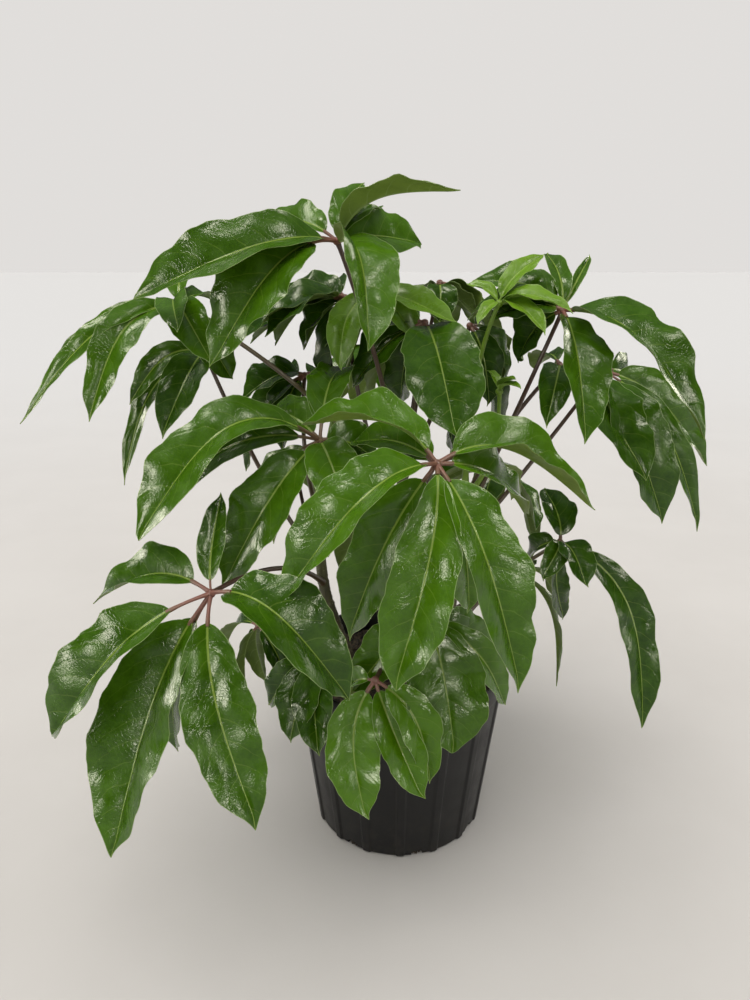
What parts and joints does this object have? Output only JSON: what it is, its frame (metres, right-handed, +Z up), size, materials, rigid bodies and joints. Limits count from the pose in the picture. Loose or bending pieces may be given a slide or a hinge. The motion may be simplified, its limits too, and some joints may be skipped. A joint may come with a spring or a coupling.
{
  "type": "potted umbrella plant",
  "caption": "House plant with large glossy palmate leaves on woody stems, rooted in bark soil in a ribbed plastic nursery pot that stands on a flat base.",
  "frame": {"origin": "centre of the pot's flat underside, on the pot's axis", "axes": "+Z up along the pot's axis, +X to the right and +Y away from the side that the largest front leaf faces"},
  "size_m": [0.8339, 0.6516, 0.8032],
  "materials": {
    "pot_plastic": "satin",
    "bark_soil": "matte",
    "woody_stem": "matte",
    "mature_leaf": "satin",
    "young_leaf": "satin"
  },
  "bodies": {
    "root": {"pot": "pot_plastic", "soil": "bark_soil", "stem_left": "woody_stem", "stem_middle": "woody_stem", "stem_right": "woody_stem", "leaf_front": "mature_leaf", "leaf_lower_left": "mature_leaf", "leaf_mid_left": "mature_leaf", "leaf_top": "mature_leaf", "leaf_far_left": "mature_leaf", "leaf_left": "mature_leaf", "leaf_upper_right": "mature_leaf", "leaf_right": "mature_leaf", "leaf_right_small": "mature_leaf", "leaf_lower_right": "mature_leaf", "leaf_low_back_right": "mature_leaf", "leaf_centre": "mature_leaf", "leaf_young_centre": "young_leaf", "leaf_young_right": "young_leaf", "leaf_bud_right": "young_leaf", "leaf_top_back_left": "mature_leaf", "leaf_low_front": "mature_leaf", "leaf_low_front_right": "mature_leaf", "leaf_low_left": "mature_leaf", "leaf_low_back_left": "mature_leaf", "leaf_top_back": "mature_leaf", "leaf_inner_right": "mature_leaf", "leaf_inner_left": "mature_leaf", "leaf_back_left": "mature_leaf", "leaf_back": "mature_leaf", "leaf_back_right": "mature_leaf", "leaf_low_back": "mature_leaf"}
  },
  "joints": []
}
